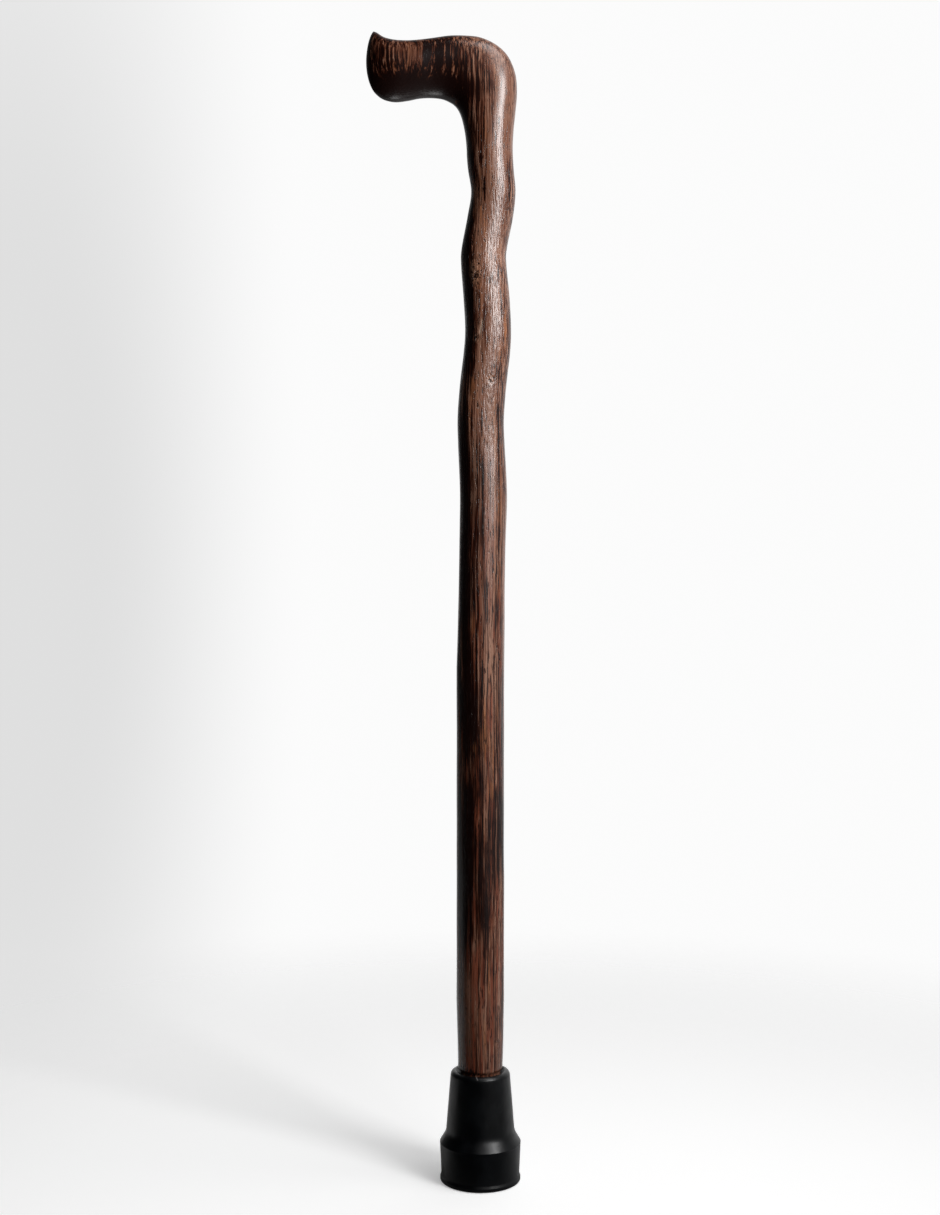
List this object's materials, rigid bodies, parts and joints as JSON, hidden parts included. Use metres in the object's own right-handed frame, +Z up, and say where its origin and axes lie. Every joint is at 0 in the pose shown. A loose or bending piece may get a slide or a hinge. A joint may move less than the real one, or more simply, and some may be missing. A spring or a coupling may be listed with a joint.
{
  "type": "walking cane",
  "caption": "Walking cane carved from one piece of dark hardwood, with an L-shaped grip, a crooked upper shaft and a wide pull-off rubber tip.",
  "frame": {"origin": "middle of the rubber tip's sole, on the floor", "axes": "+Z up along the straight shaft, the handle points to -X"},
  "size_m": [0.1159, 0.0606, 0.86],
  "materials": {
    "dark_hardwood": "oiled, satin",
    "black_rubber": "moulded, semi-matt",
    "washer_steel": "zinc plated"
  },
  "bodies": {
    "tip": {"rubber_tip": "black_rubber", "tip_washer": "washer_steel"},
    "stick": {"wooden_stick": "dark_hardwood"}
  },
  "joints": [
    {"name": "stick_pull_out", "type": "slide", "parent": "tip", "child": "stick", "axis": [0, 0, 1], "range_m": [0, 0.065]}
  ]
}
